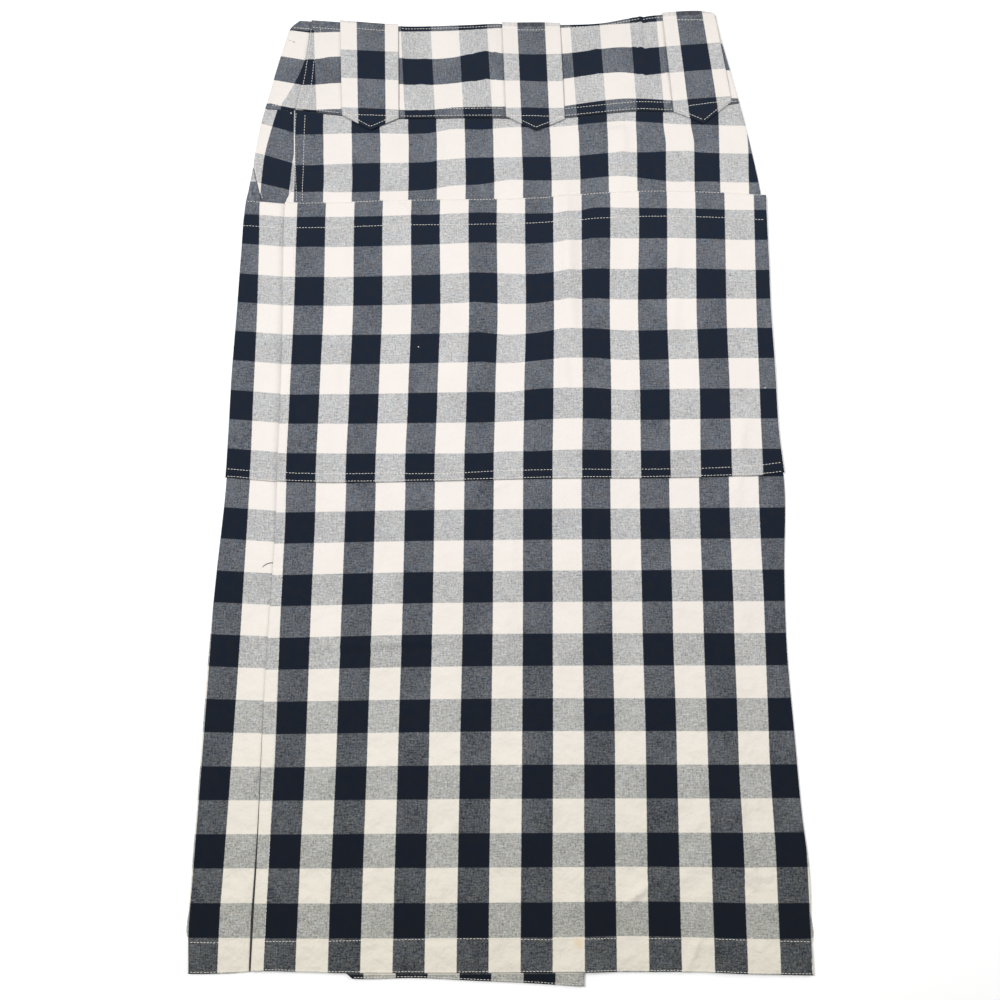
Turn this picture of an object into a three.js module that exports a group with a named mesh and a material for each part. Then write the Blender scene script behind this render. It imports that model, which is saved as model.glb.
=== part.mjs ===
// A wrap skirt in checked cotton, laid flat with its front up. The front panel wraps over an underlap and lies
// on the back. It has a deep waistband, three pointed belt loops and a patch pocket as wide as the skirt.
// Millimetres. +X is the viewer's right, +Y points to the waist and +Z is up from the surface it lies on.
// The origin is the middle of the underside.
import * as THREE from 'three';

// Cloth
const CLOTH = 1.2;         // one layer of the skirt's cotton, with the air it holds
const BAND_CLOTH = 1.8;    // waistband, two layers
const LOOP_CLOTH = 1.6;    // belt loop, folded double
const TURNED = 0.5;        // what a turned edge adds to one layer
const GAP = 0.3;           // between neighbouring pieces
const SHEET = CLOTH + GAP; // one layer and the gap to the next

// Levels along the length, before the hem, seam and waist lines bend them
const HEM = -404;
const SEAM = 318;
const HEM_FOLD = HEM + 26;
const STEP = 2;            // width of the step where a turned edge ends
const HALF_WIDTH = 249;    // the back peeps out this far at both sides, just above the hem
const HALF_LENGTH = 414.5;
const LOOP_RISE = 0.7;     // a belt loop stands this far above the waist line

// Patch pocket tier
const PATCH_TOP = 240;
const PATCH_FOLD = 219;    // lower stitch row of its turned top edge
const PATCH_TURN = -4.5;   // upper stitch row of its sewn lower edge
const PATCH_BOTTOM = -12.5;
const YOKE_JOIN = 228;     // seam of the side yoke, under the patch
const SIDE_PATCH_END = -166;

// Front edge
const EDGE_TURN = 10;      // turned strip along the free edge
const OVER_FLAT = 24;      // the front lies on the side patch this far in from its free edge
const OVER_END = 46;       // and has come down off it here
const OVER_BELOW = 42;     // it climbs onto the side patch over this length below it
const OVER_ABOVE = 36;     // and comes down again over this length above it
const LAP_END = 30;        // it has come down off the underlap this far past the underlap's edge
const UNDER_SEAM_LIFT = 0.5; // how far the underlap and the front rise to meet the waistband
const FRONT_SEAM_LIFT = 0.9;
const LIFT_FLAT = HEM + 48;  // layers lie on the turned hem below them up to here
const LIFT_END = HEM + 80;   // and have come down off it here

// Outer outline of the skirt: sides at height y
const outline = [
  { y: -404, left: -245.5, right: 245.9 },
  { y: -372, left: -246.8, right: 245.2 },
  { y: -330, left: -246.3, right: 246.4 },
  { y: -281, left: -244.4, right: 242.3 },
  { y: -219, left: -242.3, right: 239.2 },
  { y: -155, left: -240, right: 236.2 },
  { y: -90, left: -236.3, right: 236.8 },
  { y: -22, left: -231.5, right: 240 },
  { y: 30, left: -230.1, right: 236.4 },
  { y: 80, left: -229.3, right: 235.6 },
  { y: 140, left: -227, right: 233.8 },
  { y: 187, left: -225.2, right: 233.4 },
  { y: 239, left: -221.4, right: 230.6 },
  { y: 300, left: -215, right: 220.2 },
  { y: 343, left: -205.4, right: 210.9 },
  { y: 382, left: -195.8, right: 201.9 },
  { y: 416, left: -186.2, right: 195 },
];
// How far the patch stands out past the panel it lies on
const patchReach = [
  { y: -13, left: 0.6, right: 0.6 },
  { y: 80, left: 0.5, right: 0.5 },
  { y: 187, left: 0.6, right: 1.2 },
  { y: 224, left: 1.8, right: 2.4 },
  { y: 240, left: 0.8, right: 4 },
];
// Free edge of the front, from the hem to the patch's top edge, and above it in the yoke
const wrapEdge = [
  { y: -404, x: -195.3 },
  { y: -309, x: -193.5 },
  { y: -175, x: -192 },
  { y: -50, x: -187.5 },
  { y: 100, x: -186 },
  { y: 236, x: -187.5 },
  { y: 250, x: -182.2 },
  { y: 317, x: -182.6 },
];
const bandEdge = [
  { y: 317, x: -182.6 },
  { y: 332, x: -180 },
  { y: 350, x: -176.8 },
  { y: 374, x: -173.7 },
  { y: 415, x: -168.8 },
];
// Free edge of the underlap, which the front hides
const underEdge = [
  { y: -415, x: 67 },
  { y: 0, x: 66 },
  { y: 200, x: 58 },
  { y: 318, x: 22 },
  { y: 410, x: -12 },
];
// Curved mouth of the hip pocket, at the left
const pocketMouth = [
  { y: 228, x: -205.5 },
  { y: 240, x: -208 },
  { y: 254, x: -212.1 },
  { y: 266, x: -215.6 },
  { y: 278, x: -217.2 },
  { y: 290, x: -216.6 },
];
// Lines that run across
const waistLine = [
  { x: -187, y: 411.7 },
  { x: -174, y: 412 },
  { x: -145, y: 409.3 },
  { x: -90, y: 404 },
  { x: -30, y: 403 },
  { x: 5, y: 404.6 },
  { x: 38, y: 405.3 },
  { x: 60, y: 404.4 },
  { x: 93, y: 403.9 },
  { x: 121, y: 408.5 },
  { x: 150, y: 412 },
  { x: 180, y: HALF_LENGTH - LOOP_RISE },
  { x: 197, y: 411.5 },
];
const seamLine = [
  { x: -210, y: 327 },
  { x: -178, y: 324 },
  { x: -142, y: 318.4 },
  { x: -88, y: 314.3 },
  { x: -30, y: 314.1 },
  { x: 33, y: 313 },
  { x: 60, y: 313.7 },
  { x: 96, y: 317 },
  { x: 126, y: 319.4 },
  { x: 156, y: 318.5 },
  { x: 184, y: 322 },
  { x: 216, y: 326.5 },
];
const patchTopLine = [
  { x: -222, y: 241 },
  { x: -173, y: 238.2 },
  { x: -77, y: 240.2 },
  { x: 35, y: 240.6 },
  { x: 85, y: 244.4 },
  { x: 135, y: 245.4 },
  { x: 185, y: 244 },
  { x: 230, y: 241 },
];
const patchLowLine = [
  { x: -235, y: -9.8 },
  { x: -168, y: -13.4 },
  { x: 33, y: -12 },
  { x: 240, y: -11.6 },
];
const frontHem = [
  { x: -246, y: -407 },
  { x: -214, y: -406.2 },
  { x: -190, y: -404 },
  { x: -150, y: -404.2 },
  { x: -125, y: -404.8 },
  { x: 80, y: -403.2 },
  { x: 155, y: -402.8 },
  { x: 190, y: -404 },
  { x: 246, y: -405 },
];
// The underlap's hem is hidden up to a corner, then peeps out below the front
const underHem = [
  { x: -246, y: -407 },
  { x: -214, y: -406.2 },
  { x: -190, y: -404.6 },
  { x: -121, y: -405.2 },
  { x: -117, y: -409.6 },
  { x: -65, y: -408.8 },
  { x: -22, y: -410.4 },
  { x: 23, y: -412 },
  { x: 67, y: -HALF_LENGTH },
];
const backHem = [
  { x: -246, y: -401 },
  { x: 246, y: -399 },
];
const FOLD_FADE = 45;      // width over which the soft folds fade out at both sides
// Soft folds of the front: middle, direction in degrees from +X, half length, half width and height
const softFolds = [
  { x: 72, y: 110, angle: 88, length: 190, width: 34, height: 1.1 },
  { x: -70, y: 150, angle: 96, length: 150, width: 38, height: 0.9 },
  { x: 170, y: 60, angle: 86, length: 170, width: 36, height: 0.9 },
  { x: -100, y: -150, angle: 3, length: 110, width: 32, height: 0.8 },
  { x: 20, y: -260, angle: 84, length: 130, width: 40, height: 0.9 },
  { x: 150, y: -230, angle: 98, length: 140, width: 38, height: 0.8 },
  { x: -20, y: 372, angle: 100, length: 70, width: 32, height: 0.9 },
  { x: 100, y: 362, angle: 84, length: 70, width: 32, height: 0.8 },
];
// Pointed belt loops: corners at the waist and at the seam, and the point
const loops = [
  { name: 'belt_loop_left', topLeft: -142.8, topRight: -89.8, lowLeft: -138.9, lowRight: -88,
    lowLeftY: 317.5, lowRightY: 313.9, pointX: -113.1, pointY: 302.8 },
  { name: 'belt_loop_middle', topLeft: 3.7, topRight: 54, lowLeft: 7.2, lowRight: 59.4,
    lowLeftY: 314.1, lowRightY: 312, pointX: 33.6, pointY: 300.4 },
  { name: 'belt_loop_right', topLeft: 147.8, topRight: 194.8, lowLeft: 155.7, lowRight: 207.5,
    lowLeftY: 318, lowRightY: 327, pointX: 182.1, pointY: 306.4 },
];
const LOOP_CROWN = 0.7;    // a loop bows this far out of the waistband at mid height

const CHECKED = 0x77797f;  // navy and cream checks seen from afar

// Value of a table's column at a place, on a smooth curve through its rows
function along(table, inKey, outKey, at) {
  const last = table.length - 1;
  if (at <= table[0][inKey]) return table[0][outKey];
  if (at >= table[last][inKey]) return table[last][outKey];
  let i = 0;
  while (table[i + 1][inKey] < at) i += 1;
  const before = table[Math.max(i - 1, 0)];
  const from = table[i];
  const to = table[i + 1];
  const after = table[Math.min(i + 2, last)];
  const span = to[inKey] - from[inKey];
  const slopeFrom = (to[outKey] - before[outKey]) / (to[inKey] - before[inKey]);
  const slopeTo = (after[outKey] - from[outKey]) / (after[inKey] - from[inKey]);
  const t = (at - from[inKey]) / span;
  const s = t * t * (3 - 2 * t);
  const bendFrom = t * (1 - t) * (1 - t) * slopeFrom * span;
  const bendTo = t * t * (t - 1) * slopeTo * span;
  return from[outKey] * (1 - s) + to[outKey] * s + bendFrom + bendTo;
}

// 0 before the first value, 1 after the second, smooth between
function ease(value, from, to) {
  const t = Math.min(Math.max((value - from) / (to - from), 0), 1);
  return t * t * (3 - 2 * t);
}

const mix = (a, b, t) => a + (b - a) * t;
const evenly = (count) => Array.from({ length: count + 1 }, (_, i) => i / count);
const left = (y) => along(outline, 'y', 'left', y);
const right = (y) => along(outline, 'y', 'right', y);
const freeEdge = (y) => along(wrapEdge, 'y', 'x', y);

// Height y of a skirt level at x: the hem, the patch pocket's edges and the seam bend the levels near them
function panelLine(hem) {
  const bends = [
    { level: HEM, line: hem },
    { level: PATCH_BOTTOM, line: patchLowLine },
    { level: PATCH_TOP, line: patchTopLine },
    { level: SEAM, line: seamLine },
  ];
  return (x, level) => {
    const i = bends.findLastIndex((bend, n) => n < bends.length - 1 && bend.level <= level);
    const from = bends[i];
    const to = bends[i + 1];
    const t = (level - from.level) / (to.level - from.level);
    return mix(along(from.line, 'x', 'y', x), along(to.line, 'x', 'y', x), t);
  };
}

// Height y in the waistband, whose levels run from 0 at the seam to 1 at the waist
function bandLine(drop) {
  return (x, level) => {
    const low = along(seamLine, 'x', 'y', x) + GAP;
    const high = along(waistLine, 'x', 'y', x) - drop;
    return mix(low, high, level);
  };
}

// Closed sheet over a grid of rows and columns. at(column, row) gives x, y, bottom and top there.
function sheet(name, rows, columns, at) {
  const points = [];
  for (const side of ['bottom', 'top']) {
    for (const row of rows) {
      for (const column of columns) {
        const p = at(column, row);
        points.push(p.x, p.y, p[side]);
      }
    }
  }
  const wide = columns.length;
  const layer = wide * rows.length;
  const faces = [];
  const quad = (a, b, c, d) => faces.push(a, b, c, a, c, d);
  for (let r = 0; r < rows.length - 1; r += 1) {
    for (let c = 0; c < wide - 1; c += 1) {
      const a = r * wide + c;
      quad(layer + a, layer + a + 1, layer + a + wide + 1, layer + a + wide);
      quad(a, a + wide, a + wide + 1, a + 1);
    }
  }
  const rim = [];
  for (let c = 0; c < wide - 1; c += 1) rim.push(c);
  for (let r = 0; r < rows.length - 1; r += 1) rim.push(r * wide + wide - 1);
  for (let c = wide - 1; c > 0; c -= 1) rim.push((rows.length - 1) * wide + c);
  for (let r = rows.length - 1; r > 0; r -= 1) rim.push(r * wide);
  rim.forEach((from, i) => {
    const to = rim[(i + 1) % rim.length];
    quad(from, to, layer + to, layer + from);
  });
  const geometry = new THREE.BufferGeometry();
  geometry.setAttribute('position', new THREE.Float32BufferAttribute(points, 3));
  geometry.setIndex(faces);
  geometry.computeVertexNormals();
  const material = new THREE.MeshStandardMaterial({ color: CHECKED, roughness: 0.92, metalness: 0 });
  const mesh = new THREE.Mesh(geometry, material);
  mesh.name = name;
  return mesh;
}

// A panel between two side edges, each a function of y. Columns are fractions of its width, or
// distances in from its left edge where they are given as { inset }.
function panel(name, { rows, columns, from, to, line, bottom, thick }) {
  const at = (column, row) => {
    let y = line((from(0) + to(0)) / 2, row);
    let x = 0;
    for (let pass = 0; pass < 3; pass += 1) {
      x = column.inset === undefined ? mix(from(y), to(y), column) : from(y) + column.inset;
      y = line(x, row);
    }
    const low = bottom(x, y, row);
    return { x, y, bottom: low, top: low + thick(x, y, row) };
  };
  return sheet(name, rows, columns, at);
}

// Turned edges
const hemTurn = (level) => TURNED * (1 - ease(level, HEM_FOLD, HEM_FOLD + STEP));
const frontTurn = (x, y) => TURNED * (1 - ease(x - freeEdge(y), EDGE_TURN + 0.2, EDGE_TURN + STEP - 0.2));

// How much a layer climbs over the turned hem below it, and up to the waistband beside it
const hemLift = (level) => TURNED * (1 - ease(level, LIFT_FLAT, LIFT_END));
const seamLift = (level) => ease(level, SEAM - 60, SEAM - 4);

// Soft folds, which fade out at the free edge and at the right side, where the front meets the back
function folds(x, y) {
  let height = 0;
  for (const fold of softFolds) {
    const turn = THREE.MathUtils.degToRad(fold.angle);
    const run = (x - fold.x) * Math.cos(turn) + (y - fold.y) * Math.sin(turn);
    const off = (y - fold.y) * Math.cos(turn) - (x - fold.x) * Math.sin(turn);
    height += fold.height * Math.exp(-((run / fold.length) ** 4) - (off / fold.width) ** 2);
  }
  return height * ease(right(y) - x, 2, FOLD_FADE) * ease(x - freeEdge(y), EDGE_TURN, FOLD_FADE);
}

// 1 where the front lies on the underlap, 0 past the underlap's free edge
const onUnderlap = (x, y) => 1 - ease(x - along(underEdge, 'y', 'x', y), 2, LAP_END);

// 1 where the front lies on the side patch
function onSidePatch(x, y) {
  const across = 1 - ease(x - freeEdge(y), OVER_FLAT, OVER_END);
  const below = ease(y, PATCH_BOTTOM - OVER_BELOW, PATCH_BOTTOM - 6);
  const above = 1 - ease(y, PATCH_TOP + 6, PATCH_TOP + OVER_ABOVE);
  return across * below * above;
}

const underBottom = (level) => SHEET + hemLift(level) + UNDER_SEAM_LIFT * seamLift(level);

function frontBottom(x, y, level) {
  const base = SHEET + hemLift(level);
  const lap = onUnderlap(x, y) * (SHEET + hemLift(level));
  const patch = onSidePatch(x, y) * (SHEET + TURNED);
  return base + lap + patch + FRONT_SEAM_LIFT * seamLift(level) + folds(x, y);
}

const frontThick = (x, y, level) => CLOTH + Math.max(hemTurn(level), frontTurn(x, y));

const frontBandBottom = (x, y) => (BAND_CLOTH + GAP) * (1 + onUnderlap(x, y)) + folds(x, y);

const hemRows = [HEM, HEM_FOLD, HEM_FOLD + STEP, LIFT_FLAT, LIFT_END];
const lowerRows = [-290, -256, -222, -188, -154, -120, -86, -52, -26];
const patchRows = [20, 50, 80, 110, 140, 170, 196];
const yokeRows = [262, 288, SEAM];
const frontRows = [...hemRows, ...lowerRows, PATCH_BOTTOM, ...patchRows, PATCH_FOLD, PATCH_TOP, ...yokeRows];
const bandRows = [0, 0.2, 0.4, 0.6, 0.8, 1];

// Columns of the front: its turned edge, the way down off the side patch, then even steps
const frontSteps = [0, EDGE_TURN, EDGE_TURN + STEP, OVER_FLAT, OVER_END].map((inset) => ({ inset }));
const frontColumns = [...frontSteps, ...evenly(22).slice(4)];

const skirt = new THREE.Group();

// Back, with a flat underside
const peep = (y) => ease(y, -396, -373) * (1 - ease(y, -363, -338));
skirt.add(panel('back_panel', {
  rows: [HEM, HEM_FOLD, HEM_FOLD + STEP, -368, -338, -281, -219, -155, -90, -22, 80, 187, 239, 288, SEAM],
  columns: evenly(14),
  from: (y) => mix(left(y) + 0.6, -HALF_WIDTH, peep(y)),
  to: (y) => mix(right(y) - 0.6, HALF_WIDTH, peep(y)),
  line: panelLine(backHem),
  bottom: () => 0,
  thick: (x, y, level) => CLOTH + hemTurn(level),
}));
skirt.add(panel('back_waistband', {
  rows: bandRows,
  columns: evenly(14),
  from: (y) => left(y) + 0.6,
  to: (y) => right(y) - 0.6,
  line: bandLine(1),
  bottom: () => 0,
  thick: () => BAND_CLOTH,
}));

// Underlap, whose left strip and lower hem show
const underColumns = [0, 0.1, 0.2, 0.3, 0.4, 0.412, 0.5, 0.6, 0.7, 0.8, 0.9, 1];
const underRows = [...hemRows, ...lowerRows, PATCH_BOTTOM, ...patchRows, YOKE_JOIN - GAP];
skirt.add(panel('underlap_panel', {
  rows: underRows,
  columns: underColumns,
  from: left,
  to: (y) => along(underEdge, 'y', 'x', y),
  line: panelLine(underHem),
  bottom: (x, y, level) => underBottom(level),
  thick: (x, y, level) => CLOTH + hemTurn(level),
}));
skirt.add(panel('underlap_yoke', {
  rows: [YOKE_JOIN, PATCH_TOP, 254, 266, 278, 290, SEAM],
  columns: underColumns,
  from: (y) => Math.max(left(y), y < 284 ? along(pocketMouth, 'y', 'x', y) : left(y)),
  to: (y) => along(underEdge, 'y', 'x', y),
  line: panelLine(underHem),
  bottom: (x, y, level) => underBottom(level),
  thick: () => CLOTH,
}));
skirt.add(panel('underlap_waistband', {
  rows: bandRows,
  columns: underColumns,
  from: left,
  to: (y) => along(underEdge, 'y', 'x', y),
  line: bandLine(0),
  bottom: () => BAND_CLOTH + GAP,
  thick: () => BAND_CLOTH,
}));
skirt.add(panel('hip_pocket', {
  rows: [YOKE_JOIN, PATCH_TOP, 252, 262, 270],
  columns: evenly(2),
  from: (y) => left(y) + 0.3,
  to: (y) => along(pocketMouth, 'y', 'x', y) - GAP,
  line: panelLine(underHem),
  bottom: (x, y, level) => underBottom(level),
  thick: () => CLOTH - 0.2,
}));

// Patch pocket on the underlap's left strip
const patchLevels = [PATCH_BOTTOM, PATCH_TURN, PATCH_TURN + STEP, ...patchRows,
  PATCH_FOLD - STEP, PATCH_FOLD, PATCH_TOP];
function patchTurn(level) {
  const top = ease(level, PATCH_FOLD - STEP, PATCH_FOLD);
  const low = 1 - ease(level, PATCH_TURN, PATCH_TURN + STEP);
  return TURNED * Math.max(top, low);
}
skirt.add(panel('side_patch', {
  rows: patchLevels,
  columns: evenly(4),
  from: (y) => left(y) - along(patchReach, 'y', 'left', y),
  to: () => SIDE_PATCH_END,
  line: panelLine(frontHem),
  bottom: (x, y, level) => underBottom(level) + SHEET,
  thick: (x, y, level) => CLOTH + patchTurn(level),
}));

// Front, which wraps over the underlap
skirt.add(panel('front_panel', {
  rows: frontRows,
  columns: frontColumns,
  from: (y) => freeEdge(y) + ease(y, PATCH_BOTTOM - 2, PATCH_BOTTOM + 4) * (1 - ease(y, 232, 240)),
  to: right,
  line: panelLine(frontHem),
  bottom: frontBottom,
  thick: frontThick,
}));
skirt.add(panel('front_patch', {
  rows: patchLevels,
  columns: frontColumns,
  from: freeEdge,
  to: (y) => right(y) + along(patchReach, 'y', 'right', y),
  line: panelLine(frontHem),
  bottom: (x, y, level) => frontBottom(x, y, level) + frontThick(x, y, level) + GAP,
  thick: (x, y, level) => CLOTH + Math.max(patchTurn(level), frontTurn(x, y)),
}));
skirt.add(panel('front_waistband', {
  rows: bandRows,
  columns: frontColumns,
  from: (y) => along(bandEdge, 'y', 'x', y),
  to: right,
  line: bandLine(0),
  bottom: frontBandBottom,
  thick: () => BAND_CLOTH,
}));

// Belt loops, which lie on the front waistband and reach over its seam with a point
function beltLoop(loop) {
  const rows = evenly(9);
  const columns = evenly(6);
  const at = (across, up) => {
    const beside = Math.abs(2 * across - 1);
    const [cornerX, cornerY] = across < 0.5 ? [loop.lowLeft, loop.lowLeftY] : [loop.lowRight, loop.lowRightY];
    const lowX = mix(loop.pointX, cornerX, beside);
    const lowY = mix(loop.pointY, cornerY, beside);
    const topX = mix(loop.topLeft, loop.topRight, across);
    const topY = along(waistLine, 'x', 'y', topX) + LOOP_RISE;
    const x = mix(lowX, topX, up);
    const y = mix(lowY, topY, up);
    const crown = LOOP_CROWN * Math.sin(Math.PI * up);
    const bottom = frontBandBottom(x, y) + BAND_CLOTH + GAP + crown;
    return { x, y, bottom, top: bottom + LOOP_CLOTH };
  };
  return sheet(loop.name, rows, columns, at);
}
loops.forEach((loop) => skirt.add(beltLoop(loop)));

export default skirt;
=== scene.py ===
# A wrap skirt in navy and cream checked cotton, laid flat with its front up, in soft studio light.
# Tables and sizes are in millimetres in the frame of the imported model: +X is the viewer's right, +Y points to
# the waist and +Z is up from the floor. Objects are made in metres.
import math
import bpy
import numpy as np
from mathutils import Matrix, Vector
from mathutils.bvhtree import BVHTree


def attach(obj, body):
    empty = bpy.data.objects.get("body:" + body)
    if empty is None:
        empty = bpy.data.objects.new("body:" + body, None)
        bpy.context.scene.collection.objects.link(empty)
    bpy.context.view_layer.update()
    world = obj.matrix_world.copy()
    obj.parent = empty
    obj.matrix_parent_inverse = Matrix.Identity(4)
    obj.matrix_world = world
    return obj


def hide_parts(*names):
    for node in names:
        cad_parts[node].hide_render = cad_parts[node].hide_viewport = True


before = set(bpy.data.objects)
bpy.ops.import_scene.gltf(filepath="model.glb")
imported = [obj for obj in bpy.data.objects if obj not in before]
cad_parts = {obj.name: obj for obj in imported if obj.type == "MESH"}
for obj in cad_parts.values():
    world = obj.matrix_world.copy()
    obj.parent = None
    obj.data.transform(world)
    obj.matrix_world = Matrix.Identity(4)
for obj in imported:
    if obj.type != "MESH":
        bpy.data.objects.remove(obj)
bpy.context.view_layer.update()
MM = 0.001
RNG = np.random.default_rng(7)

# Cloth, as in the solids
CLOTH = 1.2           # one layer of the skirt's cotton, with the air it holds
BAND_CLOTH = 1.8      # waistband, two layers
LOOP_CLOTH = 1.6      # belt loop, folded double
TURNED = 0.5          # what a turned edge adds to one layer
GAP = 0.3             # between neighbouring pieces
SHEET = CLOTH + GAP

# Levels along the length, before the hem, seam and waist lines bend them
HEM = -404.0
SEAM = 318.0
HEM_FOLD = HEM + 26
STEP = 2.0            # width of the step where a turned edge ends
HALF_WIDTH = 249.0    # the back peeps out this far just above the hem
HALF_LENGTH = 414.5
LOOP_RISE = 0.7       # a belt loop stands this far above the waist line
PATCH_TOP = 240.0
PATCH_FOLD = 216.2    # lower stitch row of the patch pockets' turned top edge
PATCH_TURN = -4.9     # upper stitch row of their sewn lower edge
PATCH_BOTTOM = -12.5
YOKE_JOIN = 228.0     # seam of the side yoke, under the patch
SIDE_PATCH_END = -166.0
EDGE_TURN = 10.0      # turned strip along the free edge
OVER_FLAT = 24.0      # the front lies on the side patch this far in from its free edge
OVER_END = 46.0       # and has come down off it here
OVER_BELOW = 42.0     # it climbs onto the side patch over this length below it
OVER_ABOVE = 36.0     # and comes down again over this length above it
LAP_END = 30.0        # it has come down off the underlap this far past the underlap's edge
UNDER_SEAM_LIFT = 0.5
FRONT_SEAM_LIFT = 0.9
LIFT_FLAT = HEM + 48  # layers lie on the turned hem below them up to here
LIFT_END = HEM + 80   # and have come down off it here
FOLD_FADE = 45.0      # width over which the folds fade out at both sides
LOOP_CROWN = 0.7      # a belt loop bows this far out of the waistband
CREASE_DEPTH = 2.5    # height of the front's finer creases, in units of their table


def columns_of(names, *rows):
    """A short table as a dict of its named columns."""
    return dict(zip(names.split(), np.array(rows, float).T))


OUTLINE = columns_of(
    "y left right",
    (-404, -245.5, 245.9), (-372, -246.8, 245.2), (-330, -246.3, 246.4), (-281, -244.4, 242.3),
    (-219, -242.3, 239.2), (-155, -240, 236.2), (-90, -236.3, 236.8), (-22, -231.5, 240),
    (30, -230.1, 236.4), (80, -229.3, 235.6), (140, -227, 233.8), (187, -225.2, 233.4), (239, -221.4, 230.6),
    (300, -215, 220.2), (343, -205.4, 210.9), (382, -195.8, 201.9), (416, -186.2, 195))
PATCH_REACH = columns_of(
    "y left right",
    (-13, 0.6, 0.6), (80, 0.5, 0.5), (187, 0.6, 1.2), (224, 1.8, 2.4), (240, 0.8, 4))
WRAP_EDGE = columns_of(
    "y x", (-404, -195.3), (-309, -193.5), (-175, -192), (-50, -187.5), (100, -186), (236, -187.5),
    (250, -182.2), (317, -182.6))
BAND_EDGE = columns_of("y x", (317, -182.6), (332, -180), (350, -176.8), (374, -173.7), (415, -168.8))
# Stitch rows beside the free edge: the one that closes its turning, and two in the yoke and waistband
EDGE_ROW_LINE = columns_of(
    "y x", (-403, -185.2), (-285, -183.2), (-182, -181.8), (-79, -180.1), (54, -179.6), (134, -178.2),
    (236, -178.6))
YOKE_INNER_ROW = columns_of(
    "y x", (238, -172.5), (291, -172.8), (324, -172), (350, -167.4), (373, -165.5), (410, -159.1))
YOKE_OUTER_ROW = columns_of(
    "y x", (238, -177.5), (287, -180.7), (325, -180.2), (350, -174.7), (373, -171.8), (410, -168.5))
UNDER_EDGE = columns_of("y x", (-415, 67), (0, 66), (200, 58), (318, 22), (410, -12))
POCKET_MOUTH = columns_of(
    "y x", (228, -206.6), (240, -209.8), (254, -213.4), (266, -216.6), (278, -218.2), (290, -217.4))
# How far the hip pocket stands out past the outline
POCKET_REACH = columns_of("y out", (228, 2.4), (240, 2.4), (250, 1.3), (259, 0.8), (268, 0.0))
WAIST_LINE = columns_of(
    "x y",
    (-187, 413.3), (-174, 412.3), (-145, 409.3), (-90, 404), (-30, 403.6), (5, 405.3), (38, 405.5),
    (60, 404.5), (93, 405), (121, 409.8), (150, 413), (180, 414.6), (197, 412))
SEAM_LINE = columns_of(
    "x y", (-210, 327), (-178, 324), (-142, 318.4), (-88, 314.3), (-30, 314.1), (33, 313), (60, 313.7),
    (96, 317), (126, 319.4), (156, 318.5), (184, 322), (216, 326.5))
PATCH_TOP_LINE = columns_of(
    "x y",
    (-222, 239.6), (-173, 235.6), (-110, 237.2), (-60, 237.6), (35, 238.6), (85, 242.6), (135, 244.6),
    (185, 242.8), (230, 240))
PATCH_LOW_LINE = columns_of(
    "x y",
    (-235, -8.6), (-168, -13.8), (-70, -13.6), (33, -11.7), (150, -11.1), (200, -10), (222, -9), (240, -6.8))
FRONT_HEM = columns_of(
    "x y",
    (-246, -407), (-214, -406.2), (-190, -404), (-150, -404.2), (-125, -404.8), (80, -403.2), (155, -402.8),
    (190, -404), (246, -405))
UNDER_HEM = columns_of(
    "x y",
    (-246, -407), (-214, -406.2), (-190, -404.6), (-121, -405.2), (-117, -409.6), (-65, -408.8),
    (-22, -410.4), (23, -412), (67, -HALF_LENGTH))
BACK_HEM = columns_of("x y", (-246, -401), (246, -399))

# Soft folds of the front: middle, direction in degrees from +X, half length, half width and height
SOFT_FOLDS = [
    (72, 110, 88, 190, 34, 1.1), (-70, 150, 96, 150, 38, 0.9), (170, 60, 86, 170, 36, 0.9),
    (-100, -150, 3, 110, 32, 0.8), (20, -260, 84, 130, 40, 0.9), (150, -230, 98, 140, 38, 0.8),
    (-20, 372, 100, 70, 32, 0.9), (100, 362, 84, 70, 32, 0.8)]
# Finer creases of the front, in the same way. A negative height is a trough.
CREASES = [
    (60, 190, 91, 62, 5, 1.0), (73, 176, 89, 70, 4.5, -0.7), (56, 80, 92, 46, 5, 0.6),
    (-100, -149, 3, 62, 2.4, 0.8), (-96, -156, 4, 56, 3.0, -0.5), (118, -338, 38, 22, 2.6, 1.0),
    (131, -322, 52, 17, 2.2, -0.6), (-142, 60, 84, 50, 6, 0.6), (-18, 120, 96, 64, 7, 0.6),
    (152, 150, 87, 60, 6, 0.7), (205, 20, 82, 56, 6, 0.7), (10, -90, 88, 60, 7, 0.6),
    (-60, -300, 95, 64, 7, 0.65), (194, -300, 99, 60, 6, 0.7), (88, -180, 92, 70, 8, 0.6),
    (-130, -330, 84, 46, 5, 0.6), (36, -366, 96, 30, 4.5, 0.5), (168, 272, 84, 22, 4, 0.7),
    (-52, 276, 97, 24, 4.5, 0.6), (110, 284, 90, 22, 4.5, 0.6), (92, 300, 4, 28, 3.0, 0.6),
    (-78, 226, 140, 12, 2.0, 0.7), (203, -329, 164, 13, 1.8, 0.5), (197, -340, 158, 11, 1.8, -0.4),
    (226, -24, 58, 16, 2.6, 0.9), (219, -30, 62, 13, 2.4, -0.5), (-8, -22, 30, 20, 2.6, 0.6),
    (152, -390, 62, 16, 2.2, 0.7), (143, -392, 66, 13, 2.2, -0.4), (-30, -352, 80, 26, 3.2, 0.5),
    (-10, 360, 92, 30, 3.2, 0.7), (-22, 366, 96, 26, 2.8, -0.5), (-2, 372, 90, 26, 1.6, 0.5),
    (128.5, 384, 91, 32, 2.2, 0.8), (132, 384, 91, 34, 1.8, -0.8), (122, 384, 90, 28, 2.2, 0.5),
    (-86.5, 362, 91, 40, 1.6, 0.5), (-68, 350, 84, 24, 4, 0.5), (88, 372, 95, 20, 3.6, 0.5),
    (-152, 372, 92, 24, 3, 0.45)]
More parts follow.
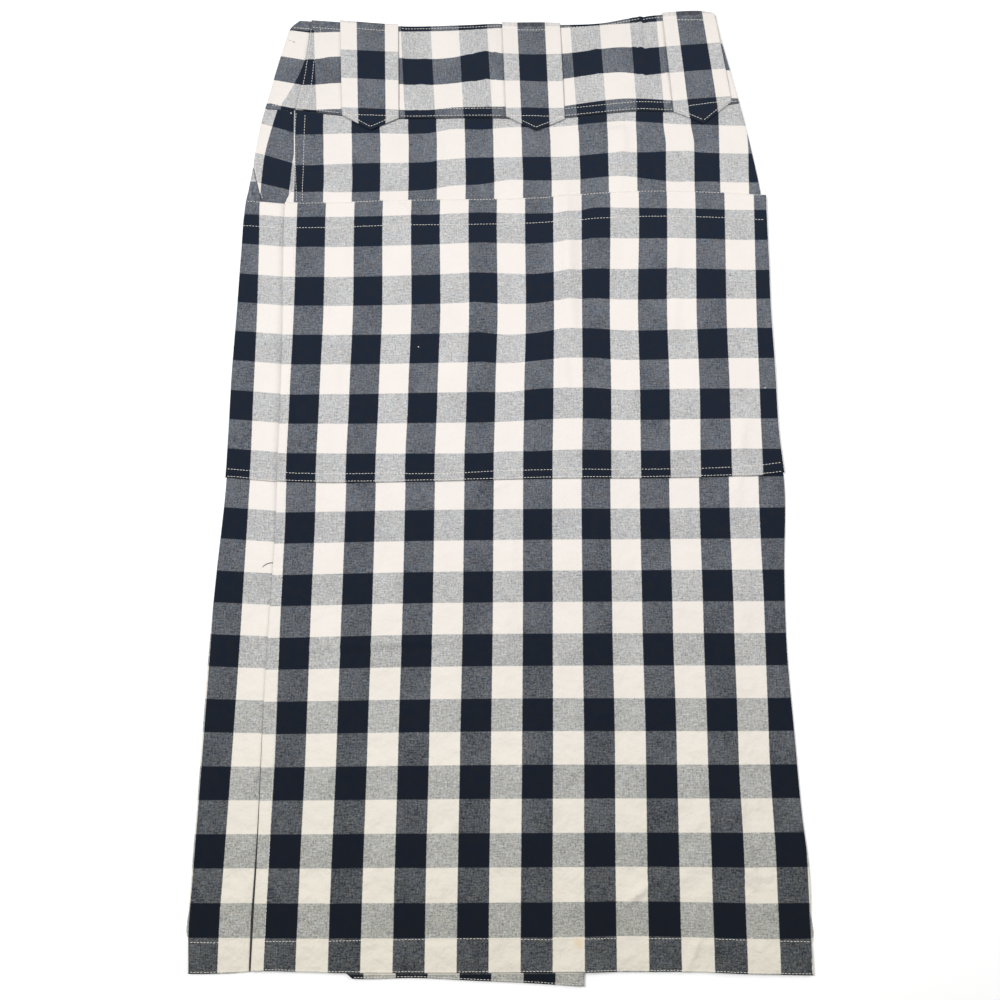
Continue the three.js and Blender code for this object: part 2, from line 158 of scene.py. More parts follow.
# Creases of the strip at the left of the free edge
STRIP_CREASES = [
    (-217, -23.4, 162, 7.5, 1.1, 0.6), (-209, -42, 128, 11, 2.0, -0.3), (-203, 40, 92, 60, 2.4, 0.5),
    (-206, -120, 95, 46, 4, 0.6), (-214, -352, 35, 14, 2.4, 0.9), (-207, -371, 22, 13, 2.4, 0.8),
    (-232, -250, 88, 60, 4, 0.5), (-216, 110, 88, 50, 4, 0.5), (-206, -392, 100, 12, 2.4, 0.7),
    (-213, -396, 84, 10, 2.2, 0.5), (-224, 226, 50, 14, 2.4, 0.6), (-236, -60, 66, 20, 3.2, 0.6)]

# Pointed belt loops: corners at the waist and at the seam, the point, the navy stripe as shares of the width,
# the ends of the lower stitch row, and the check rows with how far they tilt
LOOPS = [
    dict(name="belt_loop_left", top=(-142.8, -89.8), low=(-138.9, -88), low_y=(317.5, 313.9),
         point=(-113.1, 302.8), stripe=(0.287, 0.77), row=(317.7, 315.5), tilt=-3.2,
         rows=((-17, 405.6), (-16, 378.7), (-15, 351.1), (-14, 323), (-13, 296))),
    dict(name="belt_loop_middle", top=(3.7, 56), low=(7.2, 59.4), low_y=(314.1, 312),
         point=(33.6, 300.4), stripe=(0.262, 0.737), row=(314.3, 314.1), tilt=0.3,
         rows=((-17, 401), (-16, 374), (-15, 347.5), (-14, 322), (-13, 295.6))),
    dict(name="belt_loop_right", top=(147.8, 194.8), low=(155.7, 207.5), low_y=(318, 327),
         point=(182.1, 306.4), stripe=(0.262, 0.757), row=(321, 328), tilt=3.8,
         rows=((-17, 410.4), (-16, 381.6), (-15, 356.2), (-14, 329.9), (-13, 303.4)))]


def along(columns, out, at, by="y"):
    """Value of a table's column, on the smooth curve that the solids use."""
    xs, ys = columns[by], columns[out]
    at = np.clip(at, xs[0], xs[-1])
    i = np.clip(np.searchsorted(xs, at, side="right") - 1, 0, len(xs) - 2)
    before, after = np.maximum(i - 1, 0), np.minimum(i + 2, len(xs) - 1)
    span = xs[i + 1] - xs[i]
    slope_from = (ys[i + 1] - ys[before]) / (xs[i + 1] - xs[before])
    slope_to = (ys[after] - ys[i]) / (xs[after] - xs[i])
    t = (at - xs[i]) / span
    s = t * t * (3 - 2 * t)
    bend = t * (1 - t) ** 2 * slope_from + t * t * (t - 1) * slope_to
    return ys[i] * (1 - s) + ys[i + 1] * s + bend * span


def curves(xs, rows, x):
    """Value at x on each row's smooth curve. A row is its own mark, then its value at each of xs."""
    xs = np.array(xs, float)
    return np.array([along({"x": xs, "value": np.array(row[1:], float)}, "value", x, by="x") for row in rows])


def pick(values, i):
    return np.take_along_axis(values, i[None], 0)[0]


def ease(value, start, end):
    t = np.clip((value - start) / (end - start), 0, 1)
    return t * t * (3 - 2 * t)


def mix(a, b, t):
    return a + (b - a) * t


def left(y):
    return along(OUTLINE, "left", y)


def right(y):
    return along(OUTLINE, "right", y)


def free_edge(y):
    return along(WRAP_EDGE, "x", y)


def under_edge(y):
    return along(UNDER_EDGE, "x", y)


def panel_line(hem):
    """Height y of a skirt level at x."""
    levels = np.array([HEM, PATCH_BOTTOM, PATCH_TOP, SEAM])
    lines = [hem, PATCH_LOW_LINE, PATCH_TOP_LINE, SEAM_LINE]

    def line(x, level):
        x, level = np.broadcast_arrays(x, level)
        ys = np.array([along(t, "y", x, by="x") for t in lines])
        i = np.clip(np.searchsorted(levels, level, side="right") - 1, 0, 2)
        return mix(pick(ys, i), pick(ys, i + 1), (level - levels[i]) / (levels[i + 1] - levels[i]))
    return line


def band_line(drop):
    """Height y in the waistband, whose levels run from 0 at the seam to 1 at the waist."""
    def line(x, level):
        low = along(SEAM_LINE, "y", x, by="x") + GAP
        high = along(WAIST_LINE, "y", x, by="x") - drop
        return mix(low, high, level)
    return line


# Turned edges, and how much a layer climbs over what is below it
def hem_turn(level):
    return TURNED * (1 - ease(level, HEM_FOLD, HEM_FOLD + STEP))


def front_turn(x, y):
    return TURNED * (1 - ease(x - free_edge(y), EDGE_TURN + 0.2, EDGE_TURN + STEP - 0.2))


def patch_turn(level):
    top = ease(level, PATCH_FOLD - STEP, PATCH_FOLD)
    low = 1 - ease(level, PATCH_TURN, PATCH_TURN + STEP)
    return TURNED * np.maximum(top, low)


def hem_lift(level):
    return TURNED * (1 - ease(level, LIFT_FLAT, LIFT_END))


def seam_lift(level):
    return ease(level, SEAM - 60, SEAM - 4)


def ridges(table, x, y):
    """Height of a table of soft ridges and troughs."""
    height = np.zeros(np.broadcast(x, y).shape)
    for at_x, at_y, angle, length, width, rise in table:
        c, s = math.cos(math.radians(angle)), math.sin(math.radians(angle))
        run = (x - at_x) * c + (y - at_y) * s
        off = (y - at_y) * c - (x - at_x) * s
        height += rise * np.exp(-((run / length) ** 4) - (off / width) ** 2)
    return height


def waves(x, y):
    """The cloth's slow unevenness, up to about 0.5."""
    a = np.sin(x / 31 + 0.6 * np.sin(y / 57)) * np.sin(y / 43 + 1.1)
    b = np.sin((x + 0.7 * y) / 26 + 2.0) * np.sin((y - 0.4 * x) / 38)
    return 0.25 + 0.13 * a + 0.11 * b


LOOSE = 0.35          # the front's cloth lies this far above the cloth below it, where no crease lifts it
FLOOR_BEND = 0.03     # how softly a trough ends where it meets the cloth below, in square millimetres


def folds(x, y):
    fade = ease(right(y) - x, 2, FOLD_FADE) * ease(x - free_edge(y), EDGE_TURN, FOLD_FADE)
    height = ridges(SOFT_FOLDS, x, y) + CREASE_DEPTH * ridges(CREASES, x, y) + waves(x, y) + LOOSE
    return 0.5 * (height + np.sqrt(height ** 2 + FLOOR_BEND)) * fade


def on_underlap(x, y):
    return 1 - ease(x - under_edge(y), 2, LAP_END)


def on_side_patch(x, y):
    across = 1 - ease(x - free_edge(y), OVER_FLAT, OVER_END)
    below = ease(y, PATCH_BOTTOM - OVER_BELOW, PATCH_BOTTOM - 6)
    above = 1 - ease(y, PATCH_TOP + 6, PATCH_TOP + OVER_ABOVE)
    return across * below * above


def strip_folds(x, y):
    """Creases of the left strip, which flatten out before the free edge."""
    fade = ease(free_edge(y) - x, 1, 12) * ease(x - left(y), 2, 14)
    return np.maximum(ridges(STRIP_CREASES, x, y) + 0.3, 0) * fade


def under_bottom(x, y, level):
    return SHEET + hem_lift(level) + UNDER_SEAM_LIFT * seam_lift(level) + strip_folds(x, y)


def front_bottom(x, y, level):
    base = SHEET + hem_lift(level)
    lap = on_underlap(x, y) * (SHEET + hem_lift(level))
    patch = on_side_patch(x, y) * (SHEET + TURNED)
    return base + lap + patch + FRONT_SEAM_LIFT * seam_lift(level) + folds(x, y)


def front_thick(x, y, level):
    return CLOTH + np.maximum(hem_turn(level), front_turn(x, y))


def front_band_bottom(x, y, level=None):
    return (BAND_CLOTH + GAP) * (1 + on_underlap(x, y)) + folds(x, y)


# Checks. A piece's cloth coordinates count its stripes: the first across the warp stripes, the second across
# the weft stripes. Stripe n runs from n to n + 1. An even one is navy and an odd one is cream.
STRIPE = 25.0             # width of a warp stripe
ROW = 26.27               # width of a weft stripe
LEAN = (-0.230, 0.219)    # how far a step of one stripe drifts the other way
CHECK_ORIGIN = (-179.45, -37.9)
GRAIN = np.linalg.inv(np.array([[STRIPE, LEAN[0]], [LEAN[1], -ROW]]))


def lattice(x, y):
    dx, dy = x - CHECK_ORIGIN[0], y - CHECK_ORIGIN[1]
    return GRAIN[0, 0] * dx + GRAIN[0, 1] * dy, GRAIN[1, 0] * dx + GRAIN[1, 1] * dy


def drift(xs, rows, x, y):
    """How far the cloth lies off its even lattice, from a few places. rows are (y, value at each x)."""
    rows = sorted(rows)
    ys = np.array([r[0] for r in rows], float)
    values = curves(xs, rows, x)
    y = np.clip(y, ys[0], ys[-1])
    i = np.clip(np.searchsorted(ys, y, side="right") - 1, 0, len(ys) - 2)
    return mix(pick(values, i), pick(values, i + 1), ease(y, ys[i], ys[i + 1]))


def between_lines(xs, lines, x, y):
    """Row coordinate between lines that run across the cloth. lines are (row, y at each x), downwards."""
    values = curves(xs, lines, x)
    i = np.clip((values > y[None]).sum(0) - 1, 0, len(lines) - 2)
    high, low = pick(values, i), pick(values, i + 1)
    rows = np.array([r[0] for r in lines], float)
    return mix(rows[i], rows[i + 1], (high - y) / (high - low))


def lower_checks(x, y):
    u, v = lattice(x, y)
    u = u - drift((-180, -80, 20, 120, 220),
                  [(-29, 0.5, 1.1, 0.3, -1.9, -2.5), (-130, -0.5, 1.0, 0.6, -1.1, -0.9),
                   (-230, -0.4, 0, 0.5, 0.4, -0.4), (-334, -1.9, -0.6, 0.1, 0.4, 2.5),
                   (-400, -2.4, -0.4, 0.1, 0.8, 3.2)], x, y) / STRIPE
    v = v - drift((-170, -70, 30, 110, 210),
                  [(-38, 1.2, 0.7, 0.9, 1.4, 1.9), (-90, 1.2, 0.2, 0.2, 0.5, 1.1),
                   (-143, 0.6, -0.7, -0.7, -0.3, 0.6), (-220, -0.3, -0.9, -1.2, -0.5, 0.3),
                   (-300, -0.4, -0.6, -0.6, -0.1, 0.4), (-379, -0.2, -0.1, -0.4, -0.6, 2.0)], x, y) / ROW
    return u, v


def patch_checks(x, y):
    u, v = lattice(x, y)
    u = u - drift((-180, -80, -30, 20, 70, 120, 170, 220),
                  [(0, 0.2, 0.6, 0.6, 0.2, -0.3, -0.8, -0.8, 1.2),
                   (60, 0.7, 1.9, 1.8, 0.9, 0.5, -0.7, -0.3, 0.6),
                   (132, 1.4, 3.1, 3.1, 2.1, 0.4, -1.6, -1.5, 0.0),
                   (225, 0.8, 1.1, 1.4, 0.9, 0.3, 0.4, -0.5, 0.5)], x, y) / STRIPE
    v = between_lines((-166, -65, -16, 9, 33, 58, 84, 107, 157, 207),
                      [(-10, 222, 223, 225, 224, 223.5, 224, 228.5, 228.5, 227.5, 225.5),
                       (-8, 167, 168, 170, 169, 168.5, 171, 173, 172.5, 172.5, 171),
                       (-6, 115, 115, 116, 114, 115.5, 119, 119, 117.5, 117.5, 119),
                       (-4, 62, 63, 63.5, 63.5, 66, 66.5, 66.5, 65, 65.5, 65.5),
                       (-2, 11, 10.5, 10.5, 12, 12, 13, 13, 12.5, 12.5, 13.5)], x, y)
    return u, v


YOKE_SHIFT = (0.75, -1.0)
YOKE_OFF = 0.55               # and those of the yoke a little more


def yoke_checks(x, y):
    x, y = x - YOKE_SHIFT[0], y - YOKE_SHIFT[1]
    u, _ = lattice(x + YOKE_OFF, y)
    u = u - drift((-182, -155, -80, -5, 70, 120, 169, 194, 220),
                  [(310, -5.7, -4.8, -3.8, -3.3, -2.8, -1.5, -3.0, -3.2, -3.0),
                   (289, -4.7, -3.8, -2.7, -2.6, -1.7, -0.8, -0.2, -3.2, -2.7),
                   (255, -3.2, -2.3, -2.3, -1.5, -0.8, -0.8, -0.5, -3.2, -3.1)], x, y) / STRIPE
    v = between_lines((-166, -116, -65, -40, -16, 9, 33, 58, 107, 132, 157, 182, 207),
                      [(-14, 329, 329, 328, 331, 331, 332, 332, 333, 338, 337, 335, 334, 333),
                       (-13, 302, 302, 301, 305, 304, 306, 306, 307, 311, 310, 308, 307, 306),
                       (-12, 273, 274, 274, 277, 278, 278, 278, 278, 282, 282, 283, 281, 280),
                       (-11, 247, 247, 248, 252, 253, 257, 256, 256, 260, 257, 254, 254, 253),
                       (-10, 223.4, 225.6, 225.5, 227.4, 227, 230, 230, 230, 233, 231, 228, 228, 227)], x, y)
    return u, v


def front_checks(x, y):
    """The front panel, whose yoke above the patch pocket hangs a little off the part below it."""
    above = (y > mix(PATCH_TOP, PATCH_BOTTOM, 0.5))
    low, high = lower_checks(x, y), yoke_checks(x, y)
    return np.where(above, high[0], low[0]), np.where(above, high[1], low[1])


BAND_COLUMNS = columns_of(
    "x u", (-243, -8), (-165, -5), (-86, -2), (-59, -1), (-33.7, 0), (-8.2, 1), (66.9, 4), (93.3, 5),
    (120.6, 6), (144.8, 7), (197, 9), (223, 10))
BAND_LEAN = 0.056         # slope of the waistband's columns, about its middle
BAND_MIDDLE = 360.0
TOP_EDGE_ROW = 404.0      # above this the waistband's left end shows one even stripe


def band_checks(x, y):
    """The waistband, cut with its warp along the waist, so its rows are the warp stripes."""
    x, y = x - YOKE_SHIFT[0], y - YOKE_SHIFT[1]
    u = along(BAND_COLUMNS, "u", x - BAND_LEAN * (BAND_MIDDLE - y), by="x")
    u = np.where((y > TOP_EDGE_ROW) & (x < -150), -4.5 + 0.5 * (x + 165) / ROW, u)
    v = between_lines((-166, -141, -65, -40, -16, 9, 33, 58, 107, 132, 157, 182, 207),
                      [(-18, 425, 425, 424, 424, 425, 427, 428, 426, 428, 430, 432, 434, 435),
                       (-17, 400, 400, 399, 399, 400, 402, 403, 402.2, 404.5, 406, 408, 409.5, 410),
                       (-16, 374, 376, 372, 373, 378, 376, 377, 376.8, 381.8, 381.2, 383, 384.5, 385),
                       (-15, 349, 350, 347, 348, 350.5, 350, 349, 352.3, 357.6, 355, 357.8, 358.5, 359),
                       (-14, 325, 325, 323, 325, 325, 325, 323, 326, 332, 332.2, 330.5, 333, 332),
                       (-13, 300, 300, 298, 300, 300, 300, 298, 301, 307, 306, 304, 307, 306)], x, y)
    return v, u


WEDGE = columns_of("y x", (330, -195), (350, -183.8), (374, -174.5), (394, -171.4))


def under_band_checks(x, y):
    u = (x - along(WEDGE, "x", y)) / ROW
    u = np.where(y > TOP_EDGE_ROW - 1, 1.5 + 0.5 * (x + 190) / ROW, u)
    v = between_lines((-205, -170),
                      [(-18, 431, 425), (-17, 406.1, 400.1), (-16, 379.4, 372.7), (-15, 355.1, 348.1),
                       (-14, 332.1, 323.5), (-13, 307, 298)], x, y)
    return v, u


SIDE_STRIPE = columns_of("y x", (228, -213), (256, -210.6), (283, -208.2), (311, -202), (329, -197.3))


def side_yoke_checks(x, y):
    u = (x - along(SIDE_STRIPE, "x", y)) / 26
    v = between_lines((-215, -182),
                      [(-14, 340, 332), (-13, 314, 303.8), (-12, 285.2, 274.7), (-11, 257.4, 248.9),
                       (-10, 231, 223)], x, y)
    return u, v


def pocket_checks(x, y):
    """The hip pocket's backing: a navy stripe on a cream row, and a cream stripe above it."""
    above = ease(y, 257, 259)
    return 0.4 + above + 0.5 * (x - left(y)) / ROW, above - 0.5 + 0.3 * (y - 256) / ROW


STRIP_STRIPE = columns_of(
    "y x", (-366, -222.4), (-182, -215.6), (-28, -211.5), (6, -210.7), (54, -210.5), (134, -209.8),
    (210, -210.5), (230, -211))
STRIP_TILT = columns_of(
    "y slope", (-330, 0), (-260, 0.01), (-195, 0.036), (-100, 0.06), (-38, 0.083), (240, 0.083))
STRIP_SHIFT = 0.4     # moves the strip's stripe onto the photo's
PEEP_SHIFT = 2.3


def strip_tilt(x, y):
    return along(STRIP_TILT, "slope", y) * (SIDE_PATCH_END - x) / ROW


def strip_column(x, y):
    return (x - STRIP_SHIFT - along(STRIP_STRIPE, "x", y)) / STRIPE + 1


def side_patch_checks(x, y):
    _, v = patch_checks(x, y)
    return strip_column(x, y), v + strip_tilt(x, y)


def underlap_checks(x, y):
    """The left strip has its own stripe, and what peeps out below the hem lies a little to the right."""
    u, v = lower_checks(x, y)
    strip = strip_column(x, y)
    peeping = u - PEEP_SHIFT / STRIPE
    on_strip = x < free_edge(y) + EDGE_TURN
    v = v + np.where(on_strip, strip_tilt(x, y), -0.06)
    return np.where(on_strip, strip, peeping), v


# Mesh building. pieces holds each piece of cloth under the node that it stands for.
pieces = {}
RIM_RINGS = 4
BAKE_FAN = 1.2       # how far each ring of a rim is set out on the bake's map
BAKE_MARGIN = 8.0


def fine(marks, step):
    """Marks with even steps between them."""
    out = [marks[:1]]
    for a, b in zip(marks[:-1], marks[1:]):
        n = max(1, math.ceil((b - a) / step))
        out.append(a + (b - a) * (np.arange(1, n + 1) / n))
    return np.concatenate(out)


def rim_of(rows, wide):
    """Indices of a grid's border, counterclockwise seen from above."""
    low = np.arange(wide - 1)
    east = np.arange(rows - 1) * wide + wide - 1
    high = (rows - 1) * wide + np.arange(wide - 1, 0, -1)
    west = np.arange(rows - 1, 0, -1) * wide
    return np.concatenate([low, east, high, west])


def make_mesh(name, points, faces, maps=()):
    """A smooth mesh from points in millimetres and a list of faces, with its maps of cloth or bake places."""
    mesh = bpy.data.meshes.new(name)
    mesh.from_pydata((np.array(points) * MM).tolist(), [], faces)
    mesh.polygons.foreach_set("use_smooth", np.ones(len(faces), bool))
    for map_name, values in maps:
        layer = mesh.uv_layers.new(name=map_name)
        layer.data.foreach_set("uv", np.ascontiguousarray(values, np.float32).ravel())
    mesh.update()
    piece = bpy.data.objects.new(name, mesh)
    bpy.context.scene.collection.objects.link(piece)
    return piece


def shell(node, x, y, low, high, checks):
    """A thin closed sheet of cloth over a grid, with round edges. checks gives its cloth coordinates."""
    rows, wide = x.shape
    px, py, u_v = x.ravel(), y.ravel(), checks(x, y)
    cloth = np.stack([u_v[0].ravel(), u_v[1].ravel()], 1)
    rim = rim_of(rows, wide)
    edge = np.stack([px[rim], py[rim]], 1)
    tangent = np.roll(edge, -1, 0) - np.roll(edge, 1, 0)
    out = np.stack([tangent[:, 1], -tangent[:, 0]], 1)
    out /= np.linalg.norm(out, axis=1)[:, None]
    rim_low, rim_high = low.ravel()[rim], high.ravel()[rim]
    half = (rim_high - rim_low) / 2
    flat = np.stack([px, py], 1)
    flat[rim] -= out * half[:, None]
    top = np.column_stack([flat, high.ravel()])
    bottom = np.column_stack([flat, low.ravel()])
    rings, ring_cloth, ring_map = [], [], []
    for k in range(1, RIM_RINGS):
        turn = math.pi * k / RIM_RINGS
        place = edge - out * (half * (1 - math.sin(turn)))[:, None]
        rings.append(np.column_stack([place, rim_low + half + half * math.cos(turn)]))
        ring_cloth.append(cloth[rim])
        ring_map.append(edge + out * BAKE_FAN * k)
    points = np.concatenate([top, bottom, *rings])
    cloth_all = np.concatenate([cloth, cloth, *ring_cloth])
    count = rows * wide
    chart_a = np.concatenate([flat, flat, *ring_map])
    chart_a[count + rim] = edge + out * BAKE_FAN * RIM_RINGS
    a = (np.arange(rows - 1)[:, None] * wide + np.arange(wide - 1)[None]).ravel()
    upper = np.stack([a, a + 1, a + wide + 1, a + wide], 1)
    lower = np.stack([a, a + wide, a + wide + 1, a + 1], 1) + count
    n = len(rim)
    levels = [rim] + [2 * count + k * n + np.arange(n) for k in range(RIM_RINGS - 1)] + [count + rim]
    sides = [np.stack([p, q, np.roll(q, -1), np.roll(p, -1)], 1) for p, q in zip(levels[:-1], levels[1:])]
    first = np.concatenate([upper, *sides])
    faces = np.concatenate([first, lower])
    loops = faces.ravel()
    lowest, highest = chart_a.min(0) - BAKE_MARGIN, chart_a.max(0) + BAKE_MARGIN
    size = max(2 * (highest[0] - lowest[0]), highest[1] - lowest[1])
    place = (chart_a[loops] - lowest) / size
    back = slice(first.size, None)
    place[back] = (flat[loops[back] - count] - lowest) / size
    place[back, 0] = 2 * (highest[0] - lowest[0]) / size - place[back, 0]
    maps = [("cloth", cloth_all[loops]), ("OFBake", place)]
    pieces[node] = make_mesh(node + "_cloth", points, faces.tolist(), maps)


def panel(node, rows, columns, start, end, line, bottom, thick, checks, hollow=None):
    """A panel between two side edges. rows are levels, columns are (share of the width, distance in)."""
    level, fraction = np.meshgrid(rows, columns[:, 0], indexing="ij")
    inset = np.broadcast_to(columns[:, 1], level.shape)
    y = line((start(0.0) + end(0.0)) / 2 * np.ones_like(level), level)
    for _ in range(3):
        x = mix(start(y), end(y), fraction) + inset
        y = line(x, level)
    low = bottom(x, y, level)
    high = low + thick(x, y, level)
    if hollow is not None:
        high = high - hollow(x, y, level)
    shell(node, x, y, low, high, checks)


def fractions(count):
    return [(i / count, 0.0) for i in range(count + 1)]


# Stitch rows: thread laid on the cloth
THREAD = 0.22         # radius
STITCH = 1.95         # length
STITCH_PITCH = 2.65   # from one stitch to the next
# A stitch's rings: place along it, width, and height above the cloth, in thread radii
RINGS = ((0.0, 0.35, -0.35), (0.12, 0.8, 0.15), (0.35, 1.0, 0.6), (0.65, 1.0, 0.6), (0.88, 0.8, 0.15),
         (1.0, 0.35, -0.35))
SIDES = 6             # an even number, because the round ends are closed with fours
STEEPEST = 0.9        # a stitch that would climb more than this is left out


def surface_of(node):
    """Looks up the top of a piece at a place."""
    mesh = pieces[node].data
    tree = BVHTree.FromPolygons([v.co for v in mesh.vertices], [f.vertices for f in mesh.polygons])

    def top(x, y):
        hit = tree.ray_cast(Vector((x * MM, y * MM, 0.1)), Vector((0, 0, -1)))[0]
        return None if hit is None else hit.z / MM
    return top


def tube(base, rings, sides):
    """Faces round a tube whose rings of points start at base."""
    lower = [(base + ring * sides + k, base + ring * sides + (k + 1) % sides)
             for ring in range(rings - 1) for k in range(sides)]
    return [(a, b, b + sides, a + sides) for a, b in lower]


def stitches(name, paths, top, pitch=STITCH_PITCH, length=STITCH, radius=THREAD):
    """Rows of stitches as one mesh. Each path is a list of points, and top gives the cloth's height there."""
    points, faces = [], []
    for path in paths:
        path = np.array(path, float)
        run = np.concatenate([[0], np.cumsum(np.linalg.norm(np.diff(path, axis=0), axis=1))])
        start = 0.3
        while start + length < run[-1]:
            jitter = RNG.normal(0, 1, 4)
            ends = start, start + length * (1 + 0.05 * jitter[0])
            a, b = [np.array([np.interp(end, run, axis) for axis in path.T]) for end in ends]
            start += pitch * (1 + 0.04 * jitter[1])
            way = (b - a) / np.linalg.norm(b - a)
            side = np.array([-way[1], way[0]])
            a = a + side * 0.08 * jitter[2]
            b = b + side * 0.08 * jitter[3]
            heights = [top(*a), top(*((a + b) / 2)), top(*b)]
            if any(h is None for h in heights) or max(heights) - min(heights) > STEEPEST:
                continue
            base = len(points)
            for t, width, rise in RINGS:
                place = a + (b - a) * t
                z = np.interp(t, [0, 0.5, 1], heights) + rise * radius
                for k in range(SIDES):
                    turn = 2 * math.pi * k / SIDES
                    off = side * math.cos(turn) * width * radius
                    points.append((*(place + off), z + math.sin(turn) * width * radius))
            faces += tube(base, len(RINGS), SIDES)
            last = base + (len(RINGS) - 1) * SIDES
            for k in range(1, SIDES - 1, 2):
                faces.append((base, base + k + 2, base + k + 1, base + k))
                faces.append((last, last + k, last + k + 1, last + k + 2))
    return make_mesh(name, points, faces)


# Materials
def linear(code):
    """A screen colour such as 2b2f3d as linear red, green, blue."""
    parts = [int(code[i:i + 2], 16) / 255 for i in (0, 2, 4)]
    return tuple(c / 12.92 if c <= 0.04045 else ((c + 0.055) / 1.055) ** 2.4 for c in parts) + (1.0,)


class Nodes:
    """Short calls for building a node tree."""

    def __init__(self, name):
        self.material = bpy.data.materials.new(name)
        self.material.use_nodes = True
        self.tree = self.material.node_tree
        self.shader = self.tree.nodes["Principled BSDF"]

    def put(self, socket, value):
        if isinstance(value, bpy.types.NodeSocket):
            self.tree.links.new(value, socket)
        else:
            socket.default_value = value

    def add(self, kind, inputs=(), **settings):
        """A node with these settings. inputs are values or sockets, in order or as a dict."""
        node = self.tree.nodes.new(kind)
        for key, value in settings.items():
            setattr(node, key, value)
        for key, value in inputs.items() if isinstance(inputs, dict) else enumerate(inputs):
            self.put(node.inputs[key], value)
        return node

    def math(self, operation, *values):
        return self.add("ShaderNodeMath", values, operation=operation).outputs[0]

    def times(self, a, b):
        return self.math("MULTIPLY", a, b)

    def plus(self, a, b):
        return self.math("ADD", a, b)

    def remap(self, value, low, high, to_low, to_high, smooth=False):
        kind = "SMOOTHSTEP" if smooth else "LINEAR"
        values = value, low, high, to_low, to_high
        return self.add("ShaderNodeMapRange", values, interpolation_type=kind).outputs[0]

    def blend(self, share, a, b, kind="MIX"):
        values = {"Factor": share, 6: a, 7: b}
        return self.add("ShaderNodeMix", values, data_type="RGBA", blend_type=kind).outputs[2]

    def tinted(self, colour, red, green, blue):
        return self.blend(1.0, colour, self.join(red, green, blue), "MULTIPLY")

    def join(self, x, y, z=0.0):
        return self.add("ShaderNodeCombineXYZ", (x, y, z)).outputs[0]

    def split(self, vector):
        return self.add("ShaderNodeSeparateXYZ", (vector,)).outputs

    def noise(self, vector, scale, detail=2.0, rough=0.5):
        values = {"Vector": vector, "Scale": scale, "Detail": detail, "Roughness": rough}
        return self.add("ShaderNodeTexNoise", values).outputs["Fac"]

    def bump(self, height, strength, distance, normal=None):
        values = {"Strength": strength, "Distance": distance, "Height": height}
        if normal is not None:
            values["Normal"] = normal
        return self.add("ShaderNodeBump", values).outputs[0]


# Yarn colours, as shares of the light that they throw back
NAVY = (0.0055, 0.0105, 0.0215, 1.0)
NAVY_WARM = (0.0080, 0.0110, 0.0185, 1.0)
CREAM = (0.690, 0.645, 0.595, 1.0)
# Cream yarn between navy yarns, cooler and warmer, where the warp is navy and where it is cream
DARK_MIX_COOL = (0.590, 0.635, 0.690, 1.0)
DARK_MIX_WARM = (0.640, 0.650, 0.665, 1.0)
LIGHT_MIX_COOL = (0.664, 0.667, 0.654, 1.0)
LIGHT_MIX_WARM = (0.681, 0.664, 0.634, 1.0)
STAIN = (0.66, 0.42, 0.16, 1.0)
STAIN_AT = (0.0628, -0.3810, 0.003)
DARK_SHARE = 0.148    # cream yarn that shows where the warp is navy
LIGHT_SHARE = 0.435   # navy yarn that shows where the warp is cream
EDGE_SOFT = 0.014     # half width of the change from stripe to stripe, in stripes
EDGE_WANDER = 0.03    # how far that change wanders
YARNS = 52.0          # yarns in a stripe
HEM_AT, WAIST_AT = -0.4, 0.3    # metres along the skirt, between which the cloth's painted light and shade change
